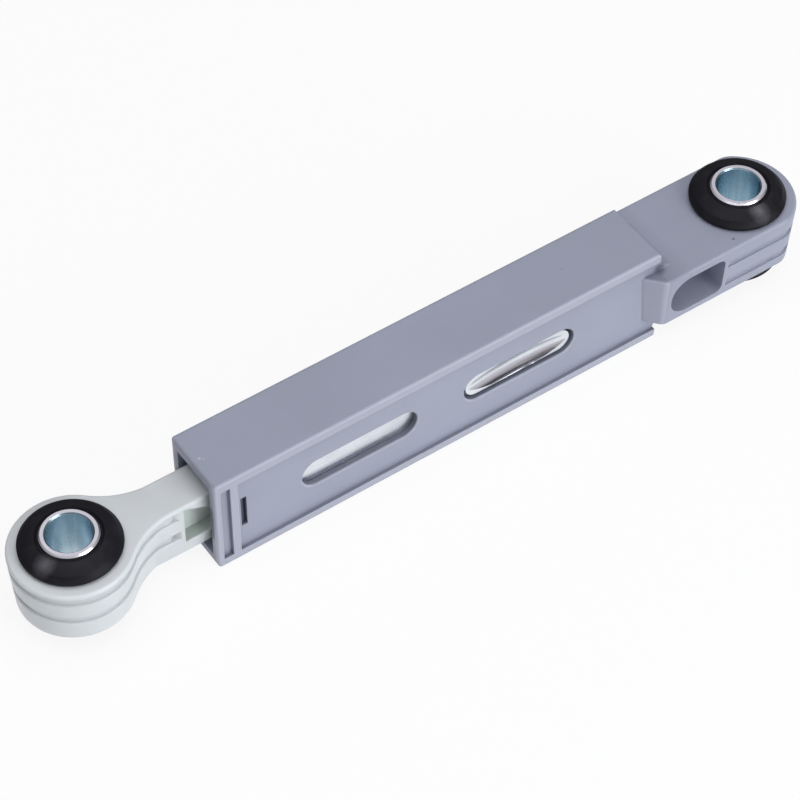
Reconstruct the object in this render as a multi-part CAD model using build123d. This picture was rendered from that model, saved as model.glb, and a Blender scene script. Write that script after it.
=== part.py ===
from build123d import *
import math
import os

# Friction damper of a washing machine, in millimetres.
# The origin is the centre of the housing's eye. +X runs from the rod's eye towards the housing's eye,
# +Z runs along both bolt holes, and the damper lies on the housing's flat underside.

# Reach of the two mouldings
mouth_to_eye = 145.3
neck_reach = 29.7
plate_end_to_eye = 28.7
cavity_end_to_eye = 36.0
flare_to_eye = 33.2

# Eye of either moulding
eye_radius = 13.6
eye_thickness = 15.0
eye_edge_round = 0.7
mould_draft = 3.0
rim_groove_pitch = 6.2
rim_groove_width = 2.3
rim_groove_depth = 0.6

# Steel sleeve
bore_radius = 5.0
sleeve_wall = 1.4
sleeve_length = 23.6
sleeve_outer_chamfer = 0.35
sleeve_inner_chamfer = 0.3

# Rubber bushing
bush_core_radius = 9.2
bush_foot_radius = 10.6
bush_rim_radius = 11.1
bush_rim_height = 1.3
bush_rim_band = 0.5
bush_shoulder_radius = 10.1
bush_shoulder_height = 2.5
bush_crown_height = 3.8
bush_crown_ring = 0.9
bush_dome_rise = 0.15
bush_trough_width = 0.4
bush_trough_depth = 0.6

# Housing
housing_width = 17.2
housing_height = 27.2
plate_thickness = 2.4
panel_recess = 1.0
panel_wall = 1.6
housing_edge_round = 0.7
mouth_band_length = 1.3
mouth_groove_length = 2.4
mouth_rib_length = 1.9
mouth_wall = 2.4
arm_width = 24.6
arm_end_round = 5.0
arm_groove_lift = -0.3
flare_run = 4.1
shoulder_round = 3.0
end_fillet_run = 5.1
end_fillet_sink = 0.15
arm_pocket_start = 27.4
arm_pocket_length = 14.9
arm_pocket_height = 11.0
arm_pocket_far_round = 5.0
arm_pocket_near_round = 2.0
arm_web = 4.6

# Cooling slots and latch windows in both side walls
slot_length = 29.8
slot_height = 7.8
slot_lip = 0.3
first_slot_from_mouth = 37.0
slot_pitch = 42.1
window_from_mouth = 7.3
window_width = 1.5
window_height = 9.2

# Steel tube
tube_wall = 0.6
tube_corner_round = 1.0
boss_rise = 0.8
boss_bevel = 0.5
dish_depth = 1.0
dish_cross_radius = 5.6
dish_end_margin = 1.6

# Front guide
guide_set_back = 2.0
guide_length = 7.0
latch_reach = 0.9

# Rod
rod_groove_lift = 2.3
neck_round = 18.0
neck_block = 5.6
neck_overlap = 9.0
shaft_thin_flange = 0.7
shaft_flange = 3.4
shaft_web = 3.4
shaft_rib_count = 3
shaft_rib_thickness = 1.4
piston_length = 19.2
piston_core_height = 14.6
piston_lip = 1.6
piston_edge_round = 0.5

# Clearances
seat_gap = 0.05
sleeve_gap = 0.05
guide_gap = 0.15
shaft_gap = 0.45
piston_gap = 0.35
pad_gap = 0.2
stop_gap = 0.4
slot_boss_gap = 0.4
latch_gap = 0.1
groove_end_gap = 1.0

# Places worked out from the sizes above
mouth_x = -mouth_to_eye
rod_eye_x = mouth_x - neck_reach
plate_end_x = -plate_end_to_eye
cavity_end_x = -cavity_end_to_eye
flare_x = -flare_to_eye
half_eye = eye_thickness / 2
draft_slope = math.tan(math.radians(mould_draft))
half_width = housing_width / 2
half_height = housing_height / 2
panel_y = half_width - panel_recess
plate_z = half_height - plate_thickness
cavity_y = panel_y - panel_wall
mouth_y = half_width - mouth_wall
sleeve_radius = bore_radius + sleeve_wall
guide_front_x = mouth_x + guide_set_back
guide_back_x = guide_front_x + guide_length
tube_y = cavity_y - seat_gap
tube_z = plate_z - seat_gap
tube_inner_y = tube_y - tube_wall
tube_inner_z = tube_z - tube_wall
shaft_y = tube_inner_y - shaft_gap
piston_end_x = cavity_end_x - stop_gap
piston_front_x = piston_end_x - piston_length
piston_y = tube_inner_y - piston_gap
piston_z = tube_inner_z - piston_gap
neck_end_x = mouth_x - neck_block
window_x = mouth_x + window_from_mouth
slot_centres = [mouth_x + first_slot_from_mouth + slot_pitch * i for i in range(2)]


def bar(x_low, x_high, y_half, z_half):
    """A box centred on the damper's long axis."""
    middle = (x_low + x_high) / 2
    return Pos(middle, 0, 0) * Box(x_high - x_low, 2 * y_half, 2 * z_half)


def slab(x_low, x_high, y_low, y_high, z_half):
    """A box that stands out on the +Y side, centred in height."""
    middle = Pos((x_low + x_high) / 2, (y_low + y_high) / 2, 0)
    return middle * Box(x_high - x_low, y_high - y_low, 2 * z_half)


def both_sides(solid):
    """The solid and its mirror image across the damper's upright middle plane."""
    return [solid, mirror(solid, Plane.XZ)]


def moulded_block(outline):
    """A block as thick as an eye, which narrows downwards by the mould's draft and has rounded rims."""
    block = extrude(Pos(0, 0, half_eye) * outline, eye_thickness, dir=(0, 0, -1), taper=mould_draft)
    faces = block.faces().sort_by(Axis.Z)
    return fillet(faces[0].edges() + faces[-1].edges(), eye_edge_round)


def rim_grooves(outline, lift, x_low, x_high):
    """Two grooves round the side of a moulded block, spaced about the height given by lift."""
    grooves = []
    for side in (-1, 1):
        z = lift + side * rim_groove_pitch / 2
        draft = (half_eye - z) * draft_slope
        ring = outline - offset(outline, -draft - rim_groove_depth)
        band = extrude(ring, rim_groove_width / 2, both=True)
        grooves.append(Pos(0, 0, z) * band & bar(x_low, x_high, 2 * eye_radius, eye_thickness))
    return grooves


def eye_hole(x):
    return Pos(x, 0, 0) * Cylinder(bush_core_radius + seat_gap, 2 * eye_thickness)


def arm_outline():
    """The flared arm of the housing, seen from above: two straight sides and a round end."""
    half_arm = arm_width / 2
    shoulder_x = flare_x + flare_run
    end_x = math.sqrt(eye_radius ** 2 - half_arm ** 2)
    side = [(flare_x, panel_y), (shoulder_x, half_arm), (end_x, half_arm)]
    other_side = [(x, -y) for x, y in reversed(side)]
    straight = Polyline(*other_side, *side)
    round_end = ThreePointArc(side[-1], (eye_radius, 0), other_side[0])
    outline = make_face(straight + round_end)
    shoulders = outline.vertices().filter_by(lambda v: abs(v.X - shoulder_x) < 0.01)
    outline = fillet(shoulders, shoulder_round)
    corners = outline.vertices().filter_by(lambda v: abs(v.X - end_x) < 0.01)
    return fillet(corners, arm_end_round)


def arm_pocket():
    """The rounded recess moulded into the arm's +Y side."""
    centre_x = -arm_pocket_start + arm_pocket_length / 2
    face = Rectangle(arm_pocket_length, arm_pocket_height)
    corners = face.vertices().sort_by(Axis.X)
    face = fillet(corners[:2], arm_pocket_far_round)
    corners = face.vertices().sort_by(Axis.X)
    face = fillet(corners[-2:], arm_pocket_near_round)
    return Pos(centre_x, arm_web / 2, 0) * Rot(-90, 0, 0) * extrude(face, arm_width)


def box_body():
    """The box section with its two plates, whose closed end runs down onto the arm in a hollow curve."""
    foot = (plate_end_x + end_fillet_run, half_eye - end_fillet_sink)
    top = (plate_end_x, half_height)
    curve = TangentArc(foot, top, tangent=(-1, 0))
    edges = curve + Polyline(top, (mouth_x, half_height), (mouth_x, 0), (foot[0], 0), foot)
    upper = make_face(edges)
    body = extrude(Plane.XZ * (upper + mirror(upper, Plane.XZ)), half_width, both=True)
    ends = body.edges().filter_by(Axis.Y)
    plate_ends = ends.filter_by(lambda e: abs(e.center().X - plate_end_x) < 0.01)
    rounded = body.edges().filter_by(Axis.X) + body.faces().sort_by(Axis.X)[0].edges() + plate_ends
    return fillet(rounded, housing_edge_round)


def cooling_slot(x):
    """One long slot through both side walls, with a small bevel round its outer edge."""
    outline = Plane.XZ * SlotOverall(slot_length, slot_height)
    slot = extrude(outline, half_width, both=True)
    flared = Plane(origin=(0, panel_y - slot_lip, 0), x_dir=(1, 0, 0), z_dir=(0, 1, 0))
    lip = extrude(flared * SlotOverall(slot_length, slot_height), slot_lip + seat_gap, taper=-45)
    return Pos(x, 0, 0) * (slot + both_sides(lip))


def make_housing():
    body = box_body()
    groove_x = mouth_x + mouth_band_length
    rib_x = groove_x + mouth_groove_length
    panel_x = rib_x + mouth_rib_length
    body -= both_sides(slab(groove_x, rib_x, panel_y, housing_width, plate_z))
    body -= both_sides(slab(panel_x, plate_end_x, panel_y, housing_width, plate_z))
    body -= both_sides(slab(plate_end_x, plate_end_x + end_fillet_run, panel_y, housing_width, half_height))
    outline = arm_outline()
    body += moulded_block(outline)
    body -= bar(mouth_x, guide_back_x, mouth_y, plate_z)
    body -= bar(guide_back_x, cavity_end_x, cavity_y, plate_z)
    body -= [cooling_slot(x) for x in slot_centres]
    body -= Pos(window_x, 0, 0) * Box(window_width, housing_width, window_height)
    body -= both_sides(arm_pocket())
    pocket_end_x = -arm_pocket_start + arm_pocket_length
    body -= rim_grooves(outline, arm_groove_lift, pocket_end_x + groove_end_gap, 2 * eye_radius)
    return body - eye_hole(0)


def dish(extra):
    """A long barrel whose side presses a shallow dish; extra makes it larger all round."""
    half = slot_length / 2 - dish_end_margin
    deep = dish_cross_radius
    shallow = dish_cross_radius - dish_depth
    arc = ThreePointArc((-half, shallow + extra), (0, deep + extra), (half, shallow + extra))
    profile = make_face(arc + Polyline((half, shallow + extra), (half, 0), (-half, 0), (-half, shallow + extra)))
    barrel = revolve(profile, Axis.X)
    return Pos(0, tube_y + boss_rise + shallow, 0) * barrel


def pressed_boss():
    """Pressed out of the tube's +Y wall into the second slot, and dished in the middle."""
    wall_plane = Plane(origin=(0, tube_y, 0), x_dir=(1, 0, 0), z_dir=(0, 1, 0))
    length = slot_length - 2 * slot_boss_gap
    height = slot_height - 2 * slot_boss_gap
    rise = extrude(wall_plane * SlotOverall(length, height), boss_rise)
    outer_edges = rise.faces().sort_by(Axis.Y)[-1].edges()
    rise = chamfer(outer_edges, boss_bevel)
    hollow_plane = Plane(origin=(0, tube_inner_y, 0), x_dir=(1, 0, 0), z_dir=(0, 1, 0))
    inset = 2 * (tube_wall + boss_bevel)
    hollow = extrude(hollow_plane * SlotOverall(length - inset, height - inset), boss_rise)
    return rise, hollow - dish(tube_wall)


def make_steel_tube():
    front_x = guide_back_x + seat_gap
    back_x = cavity_end_x - seat_gap
    outer = bar(front_x, back_x, tube_y, tube_z)
    outer = fillet(outer.edges().filter_by(Axis.X), tube_corner_round)
    inner = bar(front_x, back_x, tube_inner_y, tube_inner_z)
    rise, hollow = pressed_boss()
    at_slot = Pos(slot_centres[1], 0, 0)
    tube = outer + [at_slot * part for part in both_sides(rise)]
    tube -= [at_slot * part for part in both_sides(dish(0))]
    tube -= [at_slot * part for part in both_sides(hollow)]
    return tube - inner


def latch():
    """A ramped tooth on the guide's +Y side that snaps into the latch window."""
    root_y = mouth_y - seat_gap
    tip_y = root_y + latch_reach
    front = window_x - window_width / 2 + latch_gap
    back = window_x + window_width / 2 - latch_gap
    ramp = Polyline((front, root_y), (front, tip_y), (back, root_y + latch_reach / 3), (back, root_y), close=True)
    return extrude(make_face(ramp), window_height / 2 - latch_gap, both=True)


def make_front_guide():
    frame = bar(guide_front_x, guide_back_x, mouth_y - seat_gap, plate_z - seat_gap)
    frame += both_sides(latch())
    opening = bar(guide_front_x, guide_back_x, shaft_y + guide_gap, half_eye + guide_gap)
    return frame - opening


def rod_outline():
    """The rod's eye and waisted neck, seen from above."""
    neck = Pos((rod_eye_x + neck_end_x) / 2, 0) * Rectangle(neck_end_x - rod_eye_x, 2 * shaft_y)
    outline = Pos(rod_eye_x, 0) * Circle(eye_radius) + neck
    inner = outline.vertices().filter_by(lambda v: abs(v.X - neck_end_x) > 0.01)
    return fillet(inner, neck_round)


def shaft_channel():
    """The recess in the shaft's +Y side, from the neck to the piston. Its two flanges are thin at the neck."""
    thin_z = half_eye - shaft_thin_flange
    flange_z = half_eye - shaft_flange
    upper = [(neck_end_x, thin_z), (mouth_x, flange_z), (piston_front_x, flange_z)]
    lower = [(x, -z) for x, z in reversed(upper)]
    outline = Plane.XZ * make_face(Polyline(*upper, *lower, close=True))
    return Pos(0, shaft_web / 2 + shaft_y, 0) * extrude(outline, shaft_y, both=True)


def make_shaft():
    """The shaft of I-section, with a few cross ribs. It starts inside the waist of the neck."""
    shaft = bar(neck_end_x - neck_overlap, piston_front_x, shaft_y, half_eye)
    shaft = fillet(shaft.edges().filter_by(Axis.X), eye_edge_round)
    pitch = (piston_front_x - neck_end_x) / (shaft_rib_count + 1)
    channel = shaft_channel()
    for i in range(1, shaft_rib_count + 1):
        rib_x = neck_end_x + i * pitch
        channel -= slab(rib_x - shaft_rib_thickness / 2, rib_x + shaft_rib_thickness / 2, 0, 4 * shaft_y, half_eye)
    return shaft - both_sides(channel)


def make_piston():
    """The piston: a core between two tall lips, which hold the friction pads end to end."""
    piston = bar(piston_front_x, piston_end_x, piston_y, piston_core_height / 2)
    piston += bar(piston_front_x, piston_front_x + piston_lip, piston_y, piston_z)
    piston += bar(piston_end_x - piston_lip, piston_end_x, piston_y, piston_z)
    back = piston.faces().sort_by(Axis.X)[-1].edges()
    return fillet(back, piston_edge_round)


def make_rod():
    outline = rod_outline()
    head = moulded_block(outline)
    rod = head + make_shaft() + make_piston()
    rod -= rim_grooves(outline, rod_groove_lift, rod_eye_x - 2 * eye_radius, neck_end_x - groove_end_gap)
    return rod - eye_hole(rod_eye_x)


def make_friction_pad():
    """The upper foam pad, which fills the space between the piston's lips."""
    length = piston_length - 2 * piston_lip - 2 * seat_gap
    low_z = piston_core_height / 2 + seat_gap
    high_z = tube_inner_z - pad_gap
    middle = Pos((piston_front_x + piston_end_x) / 2, 0, (low_z + high_z) / 2)
    return middle * Box(length, 2 * piston_y, high_z - low_z)


def make_bushing(x):
    """The rubber bushing: a core through the eye, a domed flange on each face, a trough round the sleeve."""
    inner = sleeve_radius + sleeve_gap
    core = bush_core_radius
    foot_z = half_eye + seat_gap
    rim = bush_rim_radius
    rim_z = half_eye + bush_rim_height
    crown = (sleeve_radius + bush_crown_ring, half_eye + bush_crown_height)
    trough_r = inner + bush_trough_width
    trough_z = half_eye + bush_crown_height - bush_trough_depth
    shoulder = (bush_shoulder_radius, half_eye + bush_shoulder_height)
    under = [(inner, 0), (core, 0), (core, foot_z), (bush_foot_radius, foot_z), (rim, rim_z - bush_rim_band)]
    dome = SagittaArc(shoulder, crown, -bush_dome_rise)
    profile = Polyline(*under, (rim, rim_z), shoulder) + dome
    profile += Polyline(crown, (trough_r, trough_z), (inner, trough_z), (inner, 0))
    upper = revolve(Plane.XZ * make_face(profile), Axis.Z)
    return Pos(x, 0, 0) * (upper + mirror(upper, Plane.XY))


def make_sleeve(x):
    tube = Cylinder(sleeve_radius, sleeve_length)
    tube = chamfer(tube.edges().filter_by(GeomType.CIRCLE), sleeve_outer_chamfer)
    hole = Cylinder(bore_radius, sleeve_length)
    tube -= hole
    rims = tube.edges().filter_by(GeomType.CIRCLE)
    inner_rims = rims.filter_by(lambda e: abs(e.radius - bore_radius) < 0.01)
    return Pos(x, 0, 0) * chamfer(inner_rims, sleeve_inner_chamfer)


def main():
    pad = make_friction_pad()
    parts = {
        "housing": make_housing(),
        "steel_tube": make_steel_tube(),
        "front_guide": make_front_guide(),
        "housing_bushing": make_bushing(0),
        "housing_sleeve": make_sleeve(0),
        "rod": make_rod(),
        "friction_pad_top": pad,
        "friction_pad_bottom": mirror(pad, Plane.XY),
        "rod_bushing": make_bushing(rod_eye_x),
        "rod_sleeve": make_sleeve(rod_eye_x),
    }
    os.makedirs("parts", exist_ok=True)
    for name, solid in parts.items():
        export_step(solid, f"parts/{name}.step")


main()
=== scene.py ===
import bpy
import math
from mathutils import Matrix, Vector


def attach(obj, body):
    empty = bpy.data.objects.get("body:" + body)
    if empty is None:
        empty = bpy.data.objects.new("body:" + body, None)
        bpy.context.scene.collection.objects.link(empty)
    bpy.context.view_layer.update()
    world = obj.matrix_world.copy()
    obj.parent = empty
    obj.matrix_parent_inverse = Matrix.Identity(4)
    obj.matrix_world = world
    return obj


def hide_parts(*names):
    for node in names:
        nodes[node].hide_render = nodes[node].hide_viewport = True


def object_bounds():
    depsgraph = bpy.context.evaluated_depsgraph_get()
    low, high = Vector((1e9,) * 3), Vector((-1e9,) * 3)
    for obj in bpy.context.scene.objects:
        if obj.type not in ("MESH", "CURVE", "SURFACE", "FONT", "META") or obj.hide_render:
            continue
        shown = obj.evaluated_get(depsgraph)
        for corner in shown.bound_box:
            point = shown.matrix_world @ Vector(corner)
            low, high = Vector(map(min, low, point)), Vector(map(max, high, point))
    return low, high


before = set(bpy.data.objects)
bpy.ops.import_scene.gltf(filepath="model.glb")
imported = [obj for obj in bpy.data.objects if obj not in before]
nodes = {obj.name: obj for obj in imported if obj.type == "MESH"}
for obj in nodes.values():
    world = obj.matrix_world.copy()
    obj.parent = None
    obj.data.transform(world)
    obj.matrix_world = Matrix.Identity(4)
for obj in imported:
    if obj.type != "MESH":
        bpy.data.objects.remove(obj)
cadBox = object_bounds()
print("frame loaded:", len(nodes), "nodes")

housingEye = (0.0, 0.0, 0.0)
rodEye = (-0.175, 0.0, 0.0)


# Node helpers

noiseSpan = (0.3, 0.7)       # most of a noise lies in this range
softBorder = 0.0002          # a mask fades over this width on the surface
edgeLightTurn = (0.02, 0.2)       # how far the rounded normal leaves the real one on an edge painted lighter, as highlight and wear


def newMaterial(name):
    mat = bpy.data.materials.new(name)
    mat.use_nodes = True
    tree = mat.node_tree
    return mat, tree, tree.nodes["Principled BSDF"]


def setSocket(tree, node, key, value):
    if isinstance(value, bpy.types.NodeSocket):
        tree.links.new(value, node.inputs[key])
    else:
        node.inputs[key].default_value = value


def addNode(tree, kind, settings=None, **sockets):
    node = tree.nodes.new("ShaderNode" + kind)
    for key, value in (settings or {}).items():
        setattr(node, key, value)
    for key, value in sockets.items():
        setSocket(tree, node, key, value)
    return node


def objectPoint(tree, scale=(1, 1, 1), place=(0, 0, 0)):
    coords = addNode(tree, "TexCoord")
    mapping = addNode(tree, "Mapping", Vector=coords.outputs["Object"], Scale=scale, Location=place)
    return mapping.outputs["Vector"]


def axes(tree, vector):
    return addNode(tree, "SeparateXYZ", Vector=vector).outputs


def faceAxes(tree):          # which way the face looks
    return axes(tree, addNode(tree, "NewGeometry").outputs["Normal"])


def noise(tree, point, scale, detail=3.0, roughness=0.5):
    node = addNode(tree, "TexNoise", Vector=point, Scale=scale, Detail=detail, Roughness=roughness)
    return node.outputs["Fac"]


def clouds(tree, point, scale):
    return noise(tree, point, scale, 4.0, 0.6)


def grains(tree, point, scale):
    return noise(tree, point, scale, 2.0)


def math2(tree, operation, a, b=0.0, clamp=False):
    node = addNode(tree, "Math", {"operation": operation, "use_clamp": clamp})
    setSocket(tree, node, 0, a)
    setSocket(tree, node, 1, b)
    return node.outputs[0]


def product(tree, *factors):
    result = factors[0]
    for factor in factors[1:]:
        result = math2(tree, "MULTIPLY", result, factor)
    return result


def size(tree, value):
    return math2(tree, "ABSOLUTE", value)


def flip(tree, value):
    return math2(tree, "SUBTRACT", 1.0, value)


def waves(tree, value, pitch):
    return math2(tree, "SINE", math2(tree, "MULTIPLY", value, 2 * math.pi / pitch))


def vectorMath(tree, operation, first, second=None):
    node = addNode(tree, "VectorMath", {"operation": operation})
    setSocket(tree, node, 0, first)
    if second is not None:
        setSocket(tree, node, 1, second)
    return node.outputs["Value"]


def remap(tree, value, source, target):
    node = addNode(tree, "MapRange", Value=value)
    for key, number in zip(("From Min", "From Max", "To Min", "To Max"), source + target):
        node.inputs[key].default_value = number
    return node.outputs["Result"]


def rise(tree, value, span, top=1.0):      # nothing before the span, all past it
    return remap(tree, value, span, (0.0, top))


def fall(tree, value, span, top=1.0):      # all before the span, nothing past it
    return remap(tree, value, span, (top, 0.0))


def border(start, width=softBorder):
    return start, start + width


def mixColor(tree, factor, first, second, blend="MIX"):
    node = addNode(tree, "Mix", {"data_type": "RGBA", "blend_type": blend})
    for key, value in ((0, factor), (6, first), (7, second)):
        setSocket(tree, node, key, value)
    return node.outputs[2]


def mixShader(tree, factor, first, second):
    node = addNode(tree, "MixShader")
    for key, socket in enumerate((factor, first, second)):
        tree.links.new(socket, node.inputs[key])
    return node.outputs[0]


def scaled(colour, share):
    return tuple(c * share for c in colour[:3]) + (1,)


def roughFrom(tree, pattern, values):
    low, high = values["roughVary"]
    return remap(tree, pattern, noiseSpan, (values["roughness"] + low, values["roughness"] + high))


def bump(tree, height, strength, distance, normal=None):
    node = addNode(tree, "Bump", Height=height, Strength=strength, Distance=distance)
    if normal is not None:
        tree.links.new(normal, node.inputs["Normal"])
    return node.outputs["Normal"]


def softEdge(tree, radius):
    return addNode(tree, "Bevel", {"samples": 6}, Radius=radius).outputs["Normal"]


def edgeMask(tree, softNormal):
    geometry = addNode(tree, "NewGeometry")
    alike = vectorMath(tree, "DOT_PRODUCT", softNormal, geometry.outputs["Normal"])
    return rise(tree, math2(tree, "SUBTRACT", 1.0, alike, clamp=True), edgeLightTurn)


# edges painted lighter: a painted highlight, with some wear
def wearAndHighlightEdges(tree, base, soft, values):
    wornAndLit = product(tree, edgeMask(tree, soft), values["edgeAmount"])
    return mixColor(tree, wornAndLit, base, values["edgeColour"])


def crevice(tree, values):                 # painted shade, most deep in a corner
    shade = addNode(tree, "AmbientOcclusion", {"samples": 8}, Distance=values["creviceReach"])
    return product(tree, fall(tree, shade.outputs["AO"], values["creviceSpan"]), values["creviceAmount"])


def eyePoint(tree, eye):                   # the point as counted from an eye's centre
    return objectPoint(tree, place=tuple(-c for c in eye))


def flattened(tree, point):                # the point without its height
    place = axes(tree, point)
    return addNode(tree, "CombineXYZ", X=place["X"], Y=place["Y"]).outputs[0]


def connect(tree, shader, base, rough, normal):
    for key, socket in (("Base Color", base), ("Roughness", rough), ("Normal", normal)):
        tree.links.new(socket, shader.inputs[key])


# Materials

# A turn is how far a face looks along an axis, and a span is where an effect comes in or ends

greyPlastic = {
    "colour": (0.304, 0.324, 0.409, 1),
    "cloudAmount": 0.05,                       # share by which the colour varies
    "cloudScale": 28.0,
    # edges painted lighter as highlight and wear
    "edgeColour": (0.60, 0.61, 0.72, 1),
    "edgeAmount": 0.6,
    "edgeRadius": 0.0003,
    "roundHighlightColour": (0.47, 0.48, 0.575, 1),     # rounded upright edges of the box, painted lighter as a highlight
    "roundAmount": 0.7,
    "roundTurn": (0.08, 0.3),
    "topRoundAmount": 0.15,
    "topRoundTurn": (0.12, 0.45),
    "topRoundEnd": (0.85, 0.985),
    "flareSpan": (-0.0340, -0.0335),           # no painted highlight on the arm's flare
    "proudLitColour": (0.375, 0.39, 0.47, 1),     # sides that stand proud of the panel, painted lighter as if better lit
    "proudFrom": 0.0080,
    "sideTurn": (0.5, 0.9),
    "boxEnd": -0.0287,
    "mouthX": -0.1452,
    "frameSpan": (0.0070, 0.0075),             # the mouth's frame, painted lighter as a highlight
    "panelFace": 0.0076,
    "plateInner": 0.0113,
    "stepShade": 0.45,                         # painted shade on the plates' inner faces beside the panel
    "stepTurn": (0.6, 0.9),
    "hollowEnd": -0.0215,
    "hollowShade": 0.30,                       # painted shade in the valley between the plate and the arm
    "hollowTurn": (0.3, 0.6),
    # painted shade for corners, steps, the valley, sills and the notch
    "paintedShadeColour": (0.07, 0.075, 0.10, 1),
    "creviceReach": 0.0016,
    "creviceSpan": (0.15, 0.75),
    "creviceAmount": 0.8,
    "armTopTurn": (0.9, 0.95),                 # the arm's top gets no painted shade
    "openingHalf": 0.0052,                     # slots and windows end within this height
    "sillSpan": (0.0069, 0.0074),
    "sillShade": 0.75,
    "notch": (-0.0283, 0.0078, 0.0081),        # painted shade in the corner where plate, panel and flare meet
    "notchSpan": (0.000665, 0.0019),
    "notchShade": 0.7,
    "marks": (                                 # moulding marks: place, radius, colour
        ((-0.00876, -0.00963, 0.0075), 0.00042, (0.07, 0.07, 0.10, 1)),
        ((-0.14347, 0.00012, 0.0136), 0.00045, (0.52, 0.50, 0.56, 1)),
        ((-0.14280, -0.00050, 0.0136), 0.00030, (0.48, 0.46, 0.52, 1)),
        ((-0.04950, 0.00046, 0.0136), 0.00025, (0.16, 0.16, 0.21, 1)),
    ),
    "markCore": 0.4,
    "markAmount": 0.8,
    "roughness": 0.46,
    "roughVary": (-0.04, 0.05),
    "flowStretch": (0.25, 1.0, 1.0),           # the melt flowed along the box
    "flowScale": 160.0,
    "flowRelief": 1.5,
    "grainScale": 2600.0,
    "grainDepth": 0.000012,
    "ior": 1.49,
}


def makeGreyPlastic(values):
    mat, tree, shader = newMaterial("greyPlastic")
    point = objectPoint(tree)
    place, facing = axes(tree, point), faceAxes(tree)
    across, height = size(tree, place["Y"]), size(tree, place["Z"])
    lengthways, sideways, upright = (size(tree, facing[axis]) for axis in "XYZ")
    inBox = fall(tree, place["X"], border(values["boxEnd"]))
    pastBox = flip(tree, inBox)
    paintedShade = values["paintedShadeColour"]

    cloud = rise(tree, clouds(tree, point, values["cloudScale"]), noiseSpan)
    dark = scaled(values["colour"], 1 - values["cloudAmount"])
    light = scaled(values["colour"], 1 + values["cloudAmount"])
    base = mixColor(tree, cloud, dark, light)
    # sides proud of the panel painted lighter, a painted highlight
    proud = rise(tree, across, border(values["proudFrom"]))
    proud = product(tree, proud, rise(tree, sideways, values["sideTurn"]), inBox)
    base = mixColor(tree, proud, base, values["proudLitColour"])

    # The box's rounded edges and the frame of its mouth, painted lighter as highlights
    topEdge = rise(tree, upright, values["topRoundTurn"])
    topEdge = product(tree, topEdge, fall(tree, upright, values["topRoundEnd"]), values["topRoundAmount"])
    sideEdge = rise(tree, math2(tree, "MULTIPLY", lengthways, sideways), values["roundTurn"])
    sideEdge = product(tree, sideEdge, fall(tree, place["X"], values["flareSpan"]), values["roundAmount"])
    rounded = product(tree, math2(tree, "MAXIMUM", topEdge, sideEdge), inBox)
    base = mixColor(tree, rounded, base, values["roundHighlightColour"])
    mouth = fall(tree, place["X"], border(values["mouthX"]))
    mouth = product(tree, mouth, rise(tree, lengthways, values["sideTurn"], values["roundAmount"]))
    mouth = product(tree, mouth, rise(tree, across, values["frameSpan"]))
    base = mixColor(tree, mouth, base, values["roundHighlightColour"])

    # Shade beside the panel and in the valley before the arm
    besidePanel = product(tree, rise(tree, across, border(values["panelFace"])), inBox)
    inner = fall(tree, height, border(values["plateInner"]))
    inner = product(tree, inner, rise(tree, upright, values["stepTurn"], values["stepShade"]))
    base = mixColor(tree, product(tree, besidePanel, inner), base, paintedShade)
    hollow = fall(tree, place["X"], (values["boxEnd"], values["hollowEnd"]), values["hollowShade"])
    hollow = product(tree, hollow, pastBox, rise(tree, upright, values["hollowTurn"]))
    base = mixColor(tree, hollow, base, paintedShade)

    # Edges painted lighter as highlight and wear, painted shade in corners and on the openings' walls
    soft = softEdge(tree, values["edgeRadius"])
    base = wearAndHighlightEdges(tree, base, soft, values)
    # painted shade in corners, none on the arm's top
    armTop = product(tree, pastBox, rise(tree, upright, values["armTopTurn"]))
    creviceShading = product(tree, crevice(tree, values), flip(tree, armTop))
    base = mixColor(tree, creviceShading, base, paintedShade)
    # painted shade on the walls of slots and windows
    opening = fall(tree, height, border(values["openingHalf"]))
    sill = product(tree, opening, fall(tree, across, values["sillSpan"]), inBox, values["sillShade"])
    base = mixColor(tree, sill, base, paintedShade)
    # painted shade in the corner of plate, panel and flare
    mirrored = addNode(tree, "CombineXYZ", X=place["X"], Y=across, Z=height).outputs[0]
    notch = fall(tree, vectorMath(tree, "DISTANCE", mirrored, values["notch"]), values["notchSpan"])
    base = mixColor(tree, product(tree, notch, values["notchShade"]), base, paintedShade)

    for markPlace, markSize, markColour in values["marks"]:
        away = vectorMath(tree, "DISTANCE", point, markPlace)
        spot = fall(tree, away, (markSize * values["markCore"], markSize), values["markAmount"])
        base = mixColor(tree, spot, base, markColour)

    flow = noise(tree, objectPoint(tree, values["flowStretch"]), values["flowScale"])
    relief = product(tree, flow, values["flowRelief"])
    relief = math2(tree, "ADD", grains(tree, point, values["grainScale"]), relief)
    normal = bump(tree, relief, 1.0, values["grainDepth"], soft)
    connect(tree, shader, base, roughFrom(tree, flow, values), normal)
    shader.inputs["IOR"].default_value = values["ior"]
    return mat


darkPlastic = {
    "colour": (0.072, 0.090, 0.132, 1),
    "wornColour": (0.096, 0.114, 0.160, 1),
    "wornSpan": (0.4, 0.7),
    "cloudScale": 150.0,
    "roughness": 0.42,
    "roughVary": (-0.05, 0.08),
    "grainScale": 2200.0,
    "grainDepth": 0.00001,
}


def makeDarkPlastic(values):
    mat, tree, shader = newMaterial("darkPlastic")
    point = objectPoint(tree)
    cloud = clouds(tree, point, values["cloudScale"])
    base = mixColor(tree, rise(tree, cloud, values["wornSpan"]), values["colour"], values["wornColour"])
    normal = bump(tree, noise(tree, point, values["grainScale"]), 1.0, values["grainDepth"])
    connect(tree, shader, base, roughFrom(tree, cloud, values), normal)
    return mat


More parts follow.
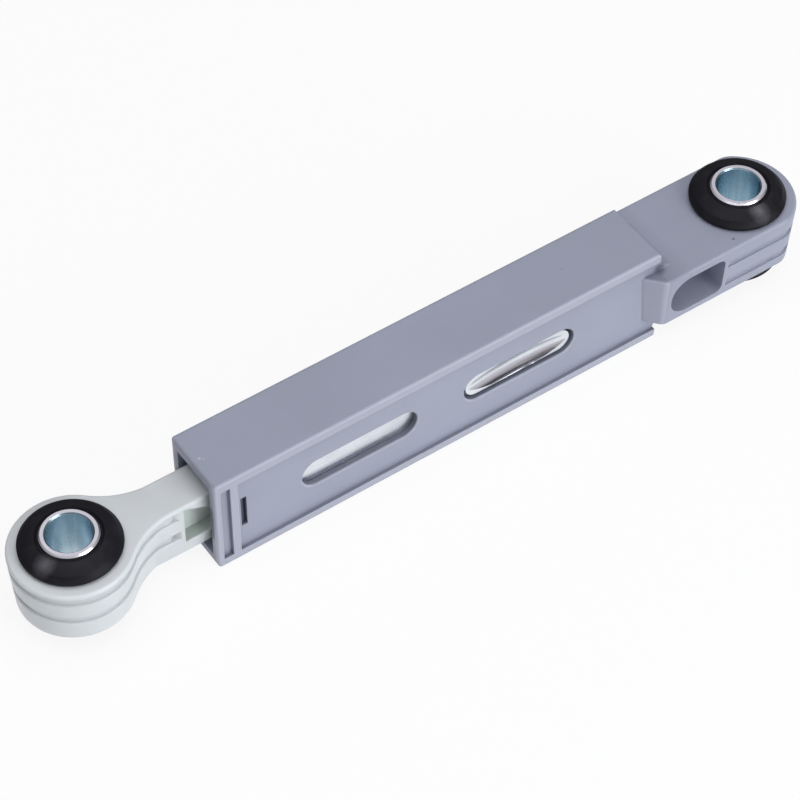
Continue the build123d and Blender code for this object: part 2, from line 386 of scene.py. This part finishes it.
whiteNylon = {
    "colour": (0.665, 0.695, 0.715, 1),
    "cloudShare": 0.94,                        # the darker clouds, as a share of the colour
    "cloudScale": 45.0,
    # edges painted lighter as highlight and wear
    "edgeColour": (0.82, 0.85, 0.88, 1),
    "edgeAmount": 0.5,
    "edgeRadius": 0.0003,
    # painted shade in the rod's crevices
    "paintedShadeColour": (0.28, 0.35, 0.33, 1),
    "creviceReach": 0.0035,
    "creviceSpan": (0.25, 0.95),
    "creviceAmount": 0.62,
    "flatTurn": (0.75, 0.95),                  # no crevice shade on the flat tops
    "webShadeTint": (0.70, 0.79, 0.735, 1),       # thin web behind the neck, painted greener for light through the nylon in shade
    "webAmount": 0.8,
    "webCrevice": 0.15,
    "webAcross": (0.0045, 0.0047),             # within the flanges' edges
    "webHeight": (0.0062, 0.0068),
    "neckEnd": -0.1509,
    "ledgeShadeColour": (0.30, 0.34, 0.315, 1),     # painted shade on the lower flange's inner face next to the neck
    "ledgeAmount": 0.6,
    "ledgeTurn": (0.4, 0.8),
    "ledgeSpan": (-0.1453, -0.1423),
    "toneSpan": (-0.1453, -0.1850),            # painted shade, darker at the mouth, lighter towards the eye
    "tones": (0.92, 1.02),
    "scatter": 0.25,
    "scatterRadius": (0.9, 1.0, 0.95),
    "scatterDepth": 0.0016,
    "roughness": 0.38,
    "roughVary": (-0.05, 0.06),
    "smearScale": 220.0,
    "grainScale": 1800.0,
    "grainDepth": 0.00001,
    "ior": 1.5,
}


def makeWhiteNylon(values):
    mat, tree, shader = newMaterial("whiteNylon")
    point = objectPoint(tree)
    place, facing = axes(tree, point), faceAxes(tree)
    across, height = size(tree, place["Y"]), size(tree, place["Z"])
    cloud = rise(tree, clouds(tree, point, values["cloudScale"]), noiseSpan)
    base = mixColor(tree, cloud, scaled(values["colour"], values["cloudShare"]), values["colour"])
    soft = softEdge(tree, values["edgeRadius"])
    base = wearAndHighlightEdges(tree, base, soft, values)

    # The open recess of the shaft: its thin web painted greener for light through the nylon in shade
    inside = product(tree, fall(tree, across, values["webAcross"]), fall(tree, height, values["webHeight"]))
    web = product(tree, rise(tree, place["X"], border(values["neckEnd"])), inside)
    # painted shade in crevices, little of it on the web
    deep = product(tree, crevice(tree, values), fall(tree, size(tree, facing["Z"]), values["flatTurn"]))
    deep = product(tree, deep, remap(tree, web, (0.0, 1.0), (1.0, values["webCrevice"])))
    base = mixColor(tree, deep, base, values["paintedShadeColour"])
    base = mixColor(tree, product(tree, web, values["webAmount"]), base, values["webShadeTint"])
    # painted shade on the lower flange's ledge
    ledge = product(tree, web, rise(tree, facing["Z"], values["ledgeTurn"], values["ledgeAmount"]))
    ledge = product(tree, ledge, fall(tree, place["X"], values["ledgeSpan"]))
    base = mixColor(tree, ledge, base, values["ledgeShadeColour"])
    # painted shade, darker towards the mouth
    tone = remap(tree, place["X"], values["toneSpan"], values["tones"])
    tone = addNode(tree, "CombineXYZ", X=tone, Y=tone, Z=tone).outputs[0]
    base = mixColor(tree, 1.0, base, tone, "MULTIPLY")

    rough = roughFrom(tree, noise(tree, point, values["smearScale"]), values)
    grain = noise(tree, point, values["grainScale"])
    connect(tree, shader, base, rough, bump(tree, grain, 1.0, values["grainDepth"], soft))
    shader.inputs["Subsurface Weight"].default_value = values["scatter"]
    shader.inputs["Subsurface Radius"].default_value = values["scatterRadius"]
    shader.inputs["Subsurface Scale"].default_value = values["scatterDepth"]
    shader.inputs["IOR"].default_value = values["ior"]
    return mat


blackRubber = {
    "colour": (0.0085, 0.008, 0.011, 1),
    "dustColour": (0.024, 0.023, 0.030, 1),
    "dustSpan": (0.45, 0.75),
    "dustAmount": 0.6,
    "smearScale": 180.0,
    "sheenPatchColour": (0.12, 0.12, 0.135, 1),     # paler patch beside the sleeve, a painted sheen
    "patchSpan": (0.0003, 0.0028),
    "patchBreak": (0.3, 0.65),
    "patchLeast": 0.3,
    "housingPatch": (-0.0007, -0.0085, 0),
    "rodPatch": (-0.0078, -0.0035, 0),
    "roughness": 0.46,
    "roughVary": (-0.06, 0.1),
    "specular": 0.12,
    "grainScale": 1500.0,
    "grainDepth": 0.000018,
    "grainStrength": 0.8,
    "ringPitch": 0.00045,
    "ringRelief": 0.12,
}


def makeBlackRubber(name, values, eye, patch):
    mat, tree, shader = newMaterial(name)
    point = eyePoint(tree, eye)
    across = flattened(tree, point)
    smear = clouds(tree, point, values["smearScale"])
    dust = rise(tree, smear, values["dustSpan"], values["dustAmount"])
    base = mixColor(tree, dust, values["colour"], values["dustColour"])
    # painted sheen patch beside the sleeve
    near = fall(tree, vectorMath(tree, "DISTANCE", across, patch), values["patchSpan"])
    near = product(tree, near, remap(tree, smear, values["patchBreak"], (values["patchLeast"], 1.0)))
    base = mixColor(tree, near, base, values["sheenPatchColour"])
    rings = waves(tree, vectorMath(tree, "LENGTH", across), values["ringPitch"])
    rings = product(tree, rings, values["ringRelief"])
    relief = math2(tree, "ADD", noise(tree, point, values["grainScale"]), rings)
    normal = bump(tree, relief, values["grainStrength"], values["grainDepth"])
    connect(tree, shader, base, roughFrom(tree, smear, values), normal)
    shader.inputs["Specular IOR Level"].default_value = values["specular"]
    return mat


zincSteel = {
    "colour": (0.86, 0.82, 0.85, 1),
    "cloudColour": (0.70, 0.71, 0.76, 1),
    "cloudAmount": 0.2,
    "cloudScale": 300.0,
    "boreColour": (0.54, 0.68, 0.77, 1),
    "boreSpan": (0.00502, 0.00504),            # the bore's radius, and just past it
    # the bore's rim painted dark as shade
    "chamferShadeColour": (0.20, 0.27, 0.31, 1),
    "chamferSpan": (0.00524, 0.0053),
    "streakStretch": (1.0, 1.0, 0.12),
    "streakScale": 420.0,
    "streakSpan": (0.35, 0.65),
    "streakAmount": 0.45,
    "roughness": 0.24,
    "roughVary": (-0.05, 0.07),
    "turningPitch": 0.00016,
    "turningRelief": 0.3,
    "grainScale": 2500.0,
    "grainDepth": 0.000005,
    "grainStrength": 0.3,
}


def makeZincSteel(name, values, eye):
    mat, tree, shader = newMaterial(name)
    point = eyePoint(tree, eye)
    radius = vectorMath(tree, "LENGTH", flattened(tree, point))
    cloud = clouds(tree, point, values["cloudScale"])
    streak = grains(tree, objectPoint(tree, values["streakStretch"]), values["streakScale"])
    streak = rise(tree, streak, values["streakSpan"], values["streakAmount"])
    faceCloud = rise(tree, cloud, noiseSpan, values["cloudAmount"])
    face = mixColor(tree, faceCloud, values["colour"], values["cloudColour"])
    # the bore darkened in streaks towards the same painted shade colour
    bore = mixColor(tree, streak, values["boreColour"], values["chamferShadeColour"])
    base = mixColor(tree, fall(tree, radius, values["chamferSpan"]), face, values["chamferShadeColour"])
    base = mixColor(tree, fall(tree, radius, values["boreSpan"]), base, bore)
    pitch = values["turningPitch"]
    turning = math2(tree, "ADD", waves(tree, radius, pitch), waves(tree, axes(tree, point)["Z"], pitch))
    turning = product(tree, turning, values["turningRelief"])
    relief = math2(tree, "ADD", turning, grains(tree, point, values["grainScale"]))
    normal = bump(tree, relief, values["grainStrength"], values["grainDepth"])
    connect(tree, shader, base, roughFrom(tree, cloud, values), normal)
    shader.inputs["Metallic"].default_value = 1.0
    return mat


sheetSteel = {
    "colour": (0.82, 0.86, 0.91, 1),
    "shadeColour": (0.69, 0.73, 0.78, 1),
    "shadeSpan": (0.35, 0.7),
    "cloudScale": 120.0,
    "dishShadeColour": (0.54, 0.53, 0.59, 1),       # the dish's lower half, painted darker as a dim reflection
    "dishTurn": (0.02, 0.12),
    # painted shade along the dish's lip
    "lipShadeColour": (0.12, 0.12, 0.14, 1),
    "lipTurn": (0.34, 0.42),
    "topTurn": (0.50, 0.54),                   # what looks further up has neither
    "roughness": 0.27,
    "roughVary": (-0.07, 0.08),
    "streakStretch": (0.04, 1.0, 1.0),
    "streakScale": 1400.0,
    "streakDepth": 0.000006,
    "streakStrength": 0.2,
}


def makeSheetSteel(values):
    mat, tree, shader = newMaterial("sheetSteel")
    streak = clouds(tree, objectPoint(tree, values["streakStretch"]), values["streakScale"])
    cloud = noise(tree, objectPoint(tree), values["cloudScale"])
    base = mixColor(tree, rise(tree, cloud, values["shadeSpan"]), values["colour"], values["shadeColour"])
    upward = faceAxes(tree)["Z"]
    below = fall(tree, upward, values["topTurn"])
    # painted reflection and shade on the dish, by how far its face looks up
    for turn, colour in (("dishTurn", "dishShadeColour"), ("lipTurn", "lipShadeColour")):
        shaded = product(tree, rise(tree, upward, values[turn]), below)
        base = mixColor(tree, shaded, base, values[colour])
    normal = bump(tree, streak, values["streakStrength"], values["streakDepth"])
    connect(tree, shader, base, roughFrom(tree, streak, values), normal)
    shader.inputs["Metallic"].default_value = 1.0
    return mat


frictionFoam = {
    "colour": (0.12, 0.10, 0.075, 1),
    "poreColour": (0.035, 0.03, 0.025, 1),
    "poreSize": 1200.0,
    "poreSpan": (0.15, 0.55),
    "poreDepth": 0.0002,
    "roughScale": 150.0,
    "roughSpan": (0.55, 0.8),
}


def makeFrictionFoam(values):
    mat, tree, shader = newMaterial("frictionFoam")
    point = objectPoint(tree)
    pores = addNode(tree, "TexVoronoi", Vector=point, Scale=values["poreSize"])
    foam = rise(tree, pores.outputs["Distance"], values["poreSpan"])
    base = mixColor(tree, foam, values["poreColour"], values["colour"])
    rough = remap(tree, noise(tree, point, values["roughScale"]), noiseSpan, values["roughSpan"])
    connect(tree, shader, base, rough, bump(tree, foam, 1.0, values["poreDepth"]))
    return mat


# The rod again, with the forms that the photo shows and the solid lacks

rodShell = {
    "neckEndX": -0.1509,
    "slopeFoot": -0.0068,
    "slopeLift": 0.0027,       # the lower flange's edge runs straight to the neck
    "slopeReach": 0.00002,
    "lowGroove": (-0.0021, 0.0005),
    "highGroove": (0.0041, 0.0067),
    "grooveHalf": 0.00445,     # the grooves' floors lie within this width
    "ringReach": 0.00012,
    "fades": (                 # ring of groove floor, its Y scale in the low and high groove
        (-0.15611, 1.053, 1.038),
        (-0.15466, 1.150, 1.093),
        (-0.15192, 1.26779, 1.16945),
    ),
    "mergeReach": 0.000001,
    "thinnest": 0.000002,
    "smoothAngle": 30,
}


def selectVerts(mesh, test):
    bpy.ops.object.mode_set(mode="OBJECT")
    for kind in (mesh.polygons, mesh.edges):
        for part in kind:
            part.select = False
    count = 0
    for vert in mesh.vertices:
        vert.select = test(vert.co)
        count += vert.select
    bpy.ops.object.mode_set(mode="EDIT")
    return count


def isFoot(co, values):
    reach = values["slopeReach"]
    return abs(co.x - values["neckEndX"]) < reach and abs(co.z - values["slopeFoot"]) < reach


def isFloor(co, ringX, groove, values):
    inGroove = groove[0] < co.z < groove[1] and abs(co.y) < values["grooveHalf"]
    return inGroove and abs(co.x - ringX) < values["ringReach"]


def mergeVerts(reach):
    bpy.ops.mesh.select_all(action="SELECT")
    bpy.ops.mesh.remove_doubles(threshold=reach)


def makeRodShell(values, mat):
    bpy.ops.object.select_all(action="DESELECT")
    shell = nodes["rod"].copy()
    shell.data = nodes["rod"].data.copy()
    shell.name = "rodShell"
    bpy.context.collection.objects.link(shell)
    bpy.context.view_layer.objects.active = shell
    shell.select_set(True)
    mesh = shell.data
    bpy.ops.mesh.customdata_custom_splitnormals_clear()
    bpy.ops.object.mode_set(mode="EDIT")
    bpy.ops.mesh.select_mode(type="VERT")
    mergeVerts(values["mergeReach"])
    moved = selectVerts(mesh, lambda co: isFoot(co, values))
    bpy.ops.transform.translate(value=(0, 0, values["slopeLift"]))
    for ringX, *scales in values["fades"]:
        for groove, scale in zip((values["lowGroove"], values["highGroove"]), scales):
            moved += selectVerts(mesh, lambda co: isFloor(co, ringX, groove, values))
            bpy.ops.transform.resize(value=(1, scale, 1), center_override=(0, 0, 0))
    mergeVerts(values["mergeReach"])
    bpy.ops.mesh.dissolve_degenerate(threshold=values["thinnest"])
    bpy.ops.mesh.normals_make_consistent(inside=False)
    bpy.ops.object.mode_set(mode="OBJECT")
    bpy.ops.object.shade_smooth_by_angle(angle=math.radians(values["smoothAngle"]))
    mesh.materials.clear()
    mesh.materials.append(mat)
    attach(shell, "rod")
    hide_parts("rod")
    print("rod shell:", moved, "vertices moved")


def paint(name, mat):
    node = nodes[name]
    node.data.materials.clear()
    node.data.materials.append(mat)


paint("housing", makeGreyPlastic(greyPlastic))
paint("front_guide", makeDarkPlastic(darkPlastic))
nylon = makeWhiteNylon(whiteNylon)
paint("rod", nylon)
paint("steel_tube", makeSheetSteel(sheetSteel))
housingRubber = makeBlackRubber("blackRubberHousing", blackRubber, housingEye, blackRubber["housingPatch"])
paint("housing_bushing", housingRubber)
paint("rod_bushing", makeBlackRubber("blackRubberRod", blackRubber, rodEye, blackRubber["rodPatch"]))
paint("housing_sleeve", makeZincSteel("zincSteelHousing", zincSteel, housingEye))
paint("rod_sleeve", makeZincSteel("zincSteelRod", zincSteel, rodEye))
foam = makeFrictionFoam(frictionFoam)
paint("friction_pad_top", foam)
paint("friction_pad_bottom", foam)
print("materials on all", len(nodes), "nodes")
makeRodShell(rodShell, nylon)


# Floor, lights and camera

studio = {
    "floorSize": 4.0,
    "floorColour": (0.93, 0.93, 0.935, 1),
    "floorRoughness": 0.9,
    "floorSpecular": 0.1,
    "white": (1, 1, 1, 1),
    "whiteShare": 0.88,                        # share of plain white in what the camera sees
    "sheetSpan": (0.024, 0.050),               # metal mirrors the darker room past the white sheet
    "roomColour": (0.10, 0.092, 0.085, 1),
    "worldColour": (0.96, 0.975, 1.0, 1),
    "worldStrength": 0.25,
    "horizonColour": (0.16, 0.155, 0.15, 1),   # what metal mirrors of the sky
    "zenithColour": (0.62, 0.64, 0.70, 1),
    "skySpan": (0.0, 0.8),
}


def makeFloor(values, floorZ):
    bpy.ops.object.select_all(action="DESELECT")
    bpy.ops.mesh.primitive_plane_add(size=values["floorSize"], location=(0, 0, floorZ))
    floor = bpy.context.active_object
    floor.name = "floor"
    bpy.ops.object.transform_apply(location=True, rotation=True, scale=True)
    mat, tree, shader = newMaterial("floorPaper")
    shader.inputs["Base Color"].default_value = values["floorColour"]
    shader.inputs["Roughness"].default_value = values["floorRoughness"]
    shader.inputs["Specular IOR Level"].default_value = values["floorSpecular"]
    rays = addNode(tree, "LightPath").outputs
    glow = addNode(tree, "Emission", Color=values["white"], Strength=1.0)
    room = addNode(tree, "Emission", Color=values["roomColour"], Strength=1.0)
    seen = math2(tree, "MAXIMUM", rays["Is Camera Ray"], rays["Is Glossy Ray"])
    seen = math2(tree, "MAXIMUM", seen, rays["Is Transmission Ray"])
    share = product(tree, seen, values["whiteShare"])
    sheet = mixShader(tree, share, shader.outputs[0], glow.outputs[0])
    away = rise(tree, size(tree, axes(tree, objectPoint(tree))["Y"]), values["sheetSpan"])
    mirrored = product(tree, away, rays["Is Glossy Ray"])
    surface = mixShader(tree, mirrored, sheet, room.outputs[0])
    tree.links.new(surface, tree.nodes["Material Output"].inputs["Surface"])
    floor.data.materials.append(mat)


def makeWorld(values):
    world = bpy.data.worlds.new("studioWorld")
    bpy.context.scene.world = world
    world.use_nodes = True
    tree = world.node_tree
    light = tree.nodes["Background"]
    light.inputs["Color"].default_value = values["worldColour"]
    light.inputs["Strength"].default_value = values["worldStrength"]
    white = addNode(tree, "Background", Color=values["white"], Strength=1.0)
    height = axes(tree, addNode(tree, "TexCoord").outputs["Generated"])["Z"]
    climb = rise(tree, height, values["skySpan"])
    sky = mixColor(tree, climb, values["horizonColour"], values["zenithColour"])
    mirrored = addNode(tree, "Background", Color=sky, Strength=1.0)
    rays = addNode(tree, "LightPath").outputs
    glossy = mixShader(tree, rays["Is Glossy Ray"], light.outputs[0], mirrored.outputs[0])
    surface = mixShader(tree, rays["Is Camera Ray"], glossy, white.outputs[0])
    tree.links.new(surface, tree.nodes["World Output"].inputs["Surface"])


lamps = {
    "front": {"place": (0.20, -0.93, 0.39), "size": 0.6, "power": 6.9, "colour": (0.96, 0.985, 1.0)},
    "top": {"place": (-0.20, -0.12, 1.10), "size": 1.2, "power": 8.0, "colour": (1.0, 0.985, 1.0)},
}


def makeLamps(values, target):
    for name, lamp in values.items():
        bpy.ops.object.light_add(type="AREA", location=lamp["place"])
        obj = bpy.context.active_object
        obj.name = name + "Lamp"
        obj.data.size = lamp["size"]
        obj.data.energy = lamp["power"]
        obj.data.color = lamp["colour"]
        obj.rotation_euler = (target - Vector(lamp["place"])).to_track_quat("-Z", "Y").to_euler()


photoCamera = {
    "target": (-0.0936, -0.0010, 0.0),
    "distance": 0.6350,
    "azimuth": -34.66,         # degrees, 0 looks along +Y
    "elevation": 49.99,
    "roll": 0.15,
    "lens": 131.51,            # millimetres
    "sensor": 36,
    "clip": (0.01, 20),
}


def makeCamera(values):
    azimuth, elevation, roll = (math.radians(values[key]) for key in ("azimuth", "elevation", "roll"))
    flat = math.cos(elevation)
    back = Vector((math.sin(azimuth) * flat, -math.cos(azimuth) * flat, math.sin(elevation)))
    bpy.ops.object.camera_add(location=Vector(values["target"]) + back * values["distance"])
    camera = bpy.context.active_object
    camera.name = "photoCamera"
    turn = (-back).to_track_quat("-Z", "Y").to_matrix() @ Matrix.Rotation(roll, 3, "Z")
    camera.rotation_euler = turn.to_euler()
    camera.data.lens = values["lens"]
    camera.data.sensor_width = values["sensor"]
    camera.data.clip_start, camera.data.clip_end = values["clip"]
    bpy.context.scene.camera = camera


makeFloor(studio, cadBox[0].z)
makeWorld(studio)
makeLamps(lamps, Vector(photoCamera["target"]))
makeCamera(photoCamera)
bpy.context.scene.view_settings.view_transform = "Standard"
print("floor, lights and camera")
